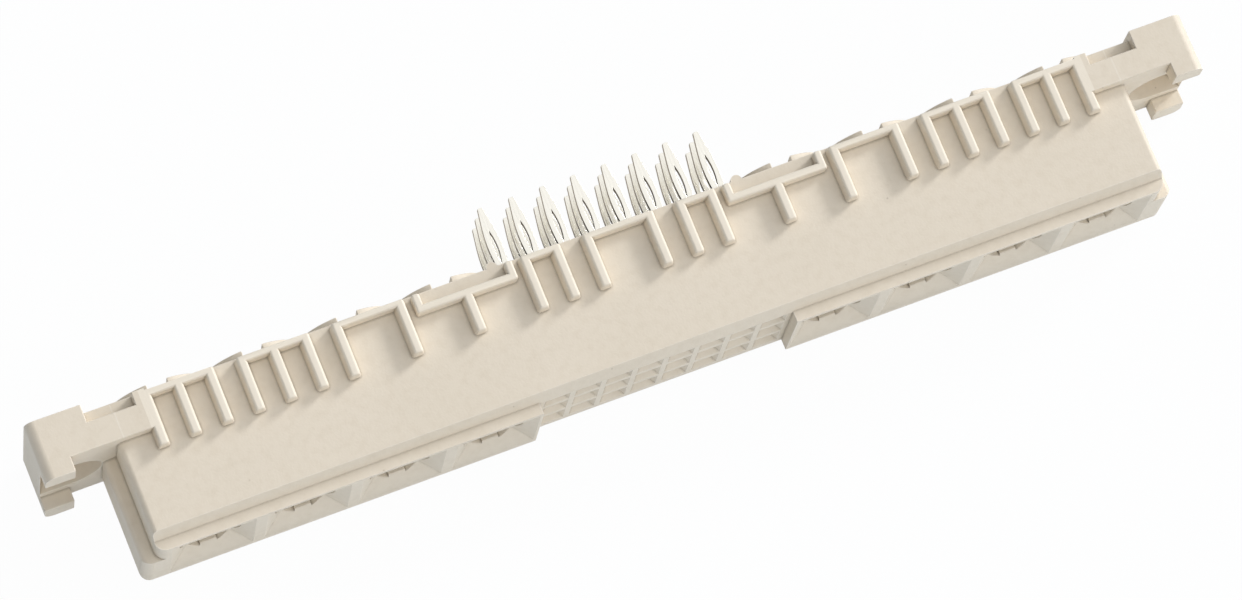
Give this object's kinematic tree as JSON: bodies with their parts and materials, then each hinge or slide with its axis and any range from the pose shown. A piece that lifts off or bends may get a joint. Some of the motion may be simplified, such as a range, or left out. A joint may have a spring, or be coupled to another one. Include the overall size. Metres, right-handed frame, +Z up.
{
  "type": "eurocard connector",
  "caption": "Straight female board connector: ribbed beige moulding with flanges, press-fit signal contacts in the middle and empty round power cavities on both sides.",
  "frame": {"origin": "on the board seating plane, midway between the two flange holes", "axes": "+X along the connector, +Y from the housing towards the board, +Z up across the rows"},
  "size_m": [0.0948, 0.0169, 0.0106],
  "materials": {
    "housing": "matte",
    "contact": "satin"
  },
  "bodies": {
    "root": {"housing": "housing", "signal_contact_a1": "contact", "signal_contact_a2": "contact", "signal_contact_a3": "contact", "signal_contact_a4": "contact", "signal_contact_a5": "contact", "signal_contact_a6": "contact", "signal_contact_a7": "contact", "signal_contact_a8": "contact", "signal_contact_b1": "contact", "signal_contact_b2": "contact", "signal_contact_b3": "contact", "signal_contact_b4": "contact", "signal_contact_b5": "contact", "signal_contact_b6": "contact", "signal_contact_b7": "contact", "signal_contact_b8": "contact", "signal_contact_c1": "contact", "signal_contact_c2": "contact", "signal_contact_c3": "contact", "signal_contact_c4": "contact", "signal_contact_c5": "contact", "signal_contact_c6": "contact", "signal_contact_c7": "contact", "signal_contact_c8": "contact"}
  },
  "joints": []
}
